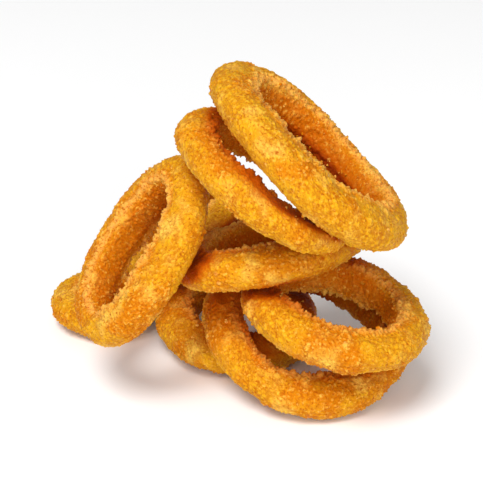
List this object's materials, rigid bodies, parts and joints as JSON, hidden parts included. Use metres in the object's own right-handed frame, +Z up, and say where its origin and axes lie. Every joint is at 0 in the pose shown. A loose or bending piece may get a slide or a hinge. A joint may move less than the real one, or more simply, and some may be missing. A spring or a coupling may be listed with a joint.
{
  "type": "pile of onion rings",
  "caption": "Loose pile of crumbed fried onion rings of uneven size and shape, as a side portion, leaning on each other with open centres.",
  "frame": {"origin": "middle of the pile's footprint, at the table", "axes": "+Z up; the pile is seen from -Y, with +X to the right of that view; the ring that tops the pile slopes down towards +X"},
  "size_m": [0.1182, 0.1076, 0.0996],
  "materials": {
    "golden_crumb": "rough golden fried crumb coat with a slight oil sheen"
  },
  "bodies": {
    "root": {"ring_far_left": "golden_crumb", "ring_low_middle": "golden_crumb", "ring_front": "golden_crumb", "ring_right": "golden_crumb", "ring_middle": "golden_crumb", "ring_back": "golden_crumb", "ring_left": "golden_crumb", "ring_upper": "golden_crumb", "ring_top": "golden_crumb"}
  },
  "joints": []
}
